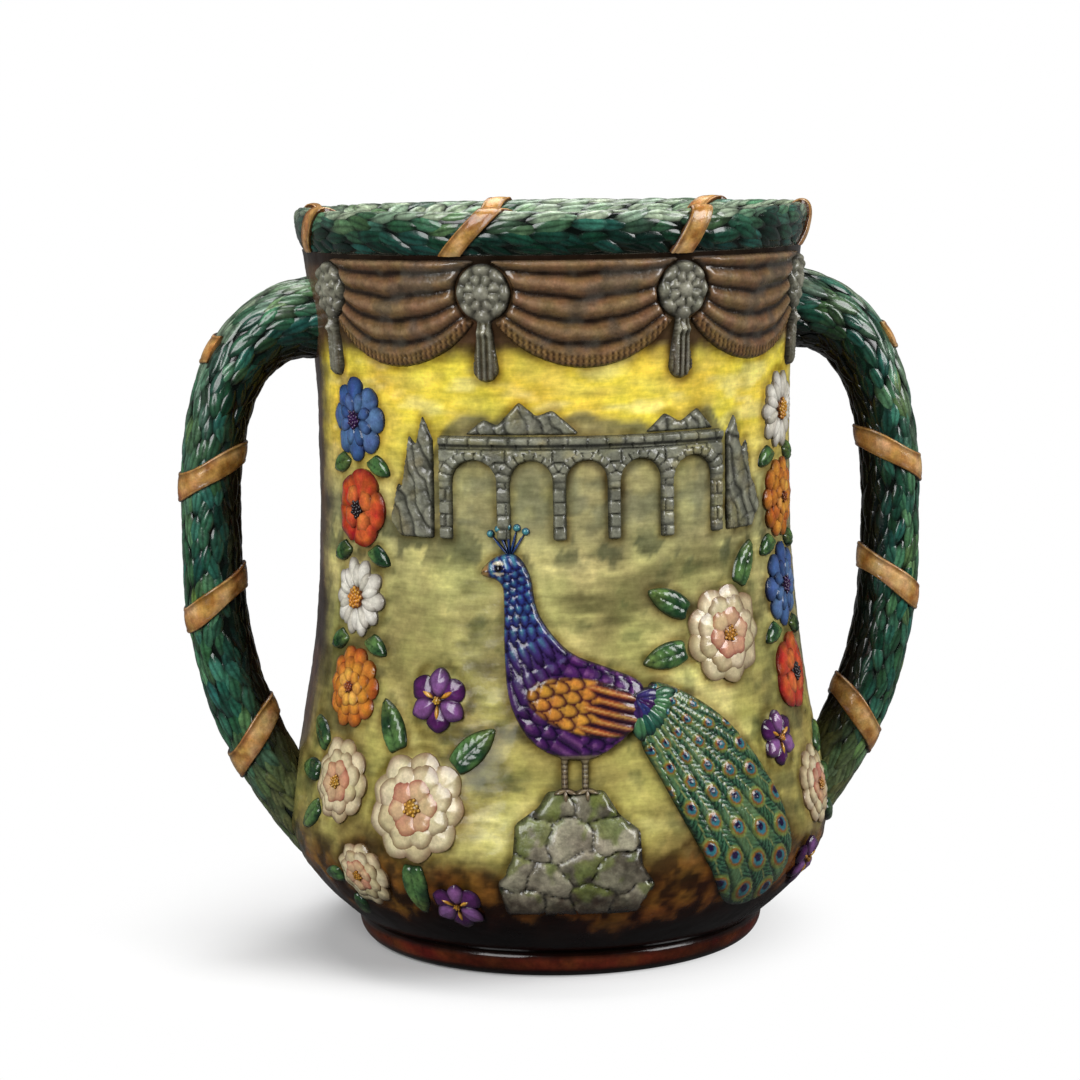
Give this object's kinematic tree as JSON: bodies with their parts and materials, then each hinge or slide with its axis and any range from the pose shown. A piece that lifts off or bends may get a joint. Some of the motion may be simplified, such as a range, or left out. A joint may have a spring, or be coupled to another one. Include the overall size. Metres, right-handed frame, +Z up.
{
  "type": "loving cup",
  "caption": "Tall waisted loving cup in glazed earthenware with a laurel rim roll, ribbon-bound loop handles on both sides and low relief sprigs on the wall.",
  "frame": {"origin": "on the table under the middle of the foot", "axes": "+Z up the cup's axis, +X towards the right handle as seen from the front, and the front facing -Y"},
  "size_m": [0.2638, 0.1964, 0.2579],
  "materials": {
    "painted_glaze": "gloss glaze over hand painting, yellow above and olive below",
    "dark_brown_glaze": "gloss dark brown glaze",
    "laurel_green_glaze": "gloss green glaze pooled dark between the leaves",
    "tan_glaze": "gloss tan glaze",
    "brown_glaze": "gloss brown glaze",
    "grey_glaze": "gloss grey glaze",
    "purple_glaze": "gloss purple glaze",
    "leaf_green_glaze": "gloss green glaze",
    "cream_glaze": "gloss cream glaze",
    "blue_glaze": "gloss blue glaze",
    "red_glaze": "gloss red glaze",
    "white_glaze": "gloss white glaze",
    "orange_glaze": "gloss orange glaze"
  },
  "bodies": {
    "root": {"cup_body": "painted_glaze", "foot_ring": "dark_brown_glaze", "rim_garland": "laurel_green_glaze", "rim_ribbons": "tan_glaze", "left_handle": "laurel_green_glaze", "right_handle": "laurel_green_glaze", "left_handle_ribbons": "tan_glaze", "right_handle_ribbons": "tan_glaze", "frieze_swags": "brown_glaze", "frieze_rosettes": "grey_glaze", "crags": "grey_glaze", "stone_bridge": "grey_glaze", "perch_rock": "grey_glaze", "peacock_body": "purple_glaze", "peacock_train": "leaf_green_glaze", "peonies": "cream_glaze", "peony_leaves": "leaf_green_glaze", "irises": "purple_glaze", "blue_blooms": "blue_glaze", "red_blooms": "red_glaze", "white_blooms": "white_glaze", "orange_blooms": "orange_glaze", "festoon_leaves": "leaf_green_glaze"}
  },
  "joints": []
}
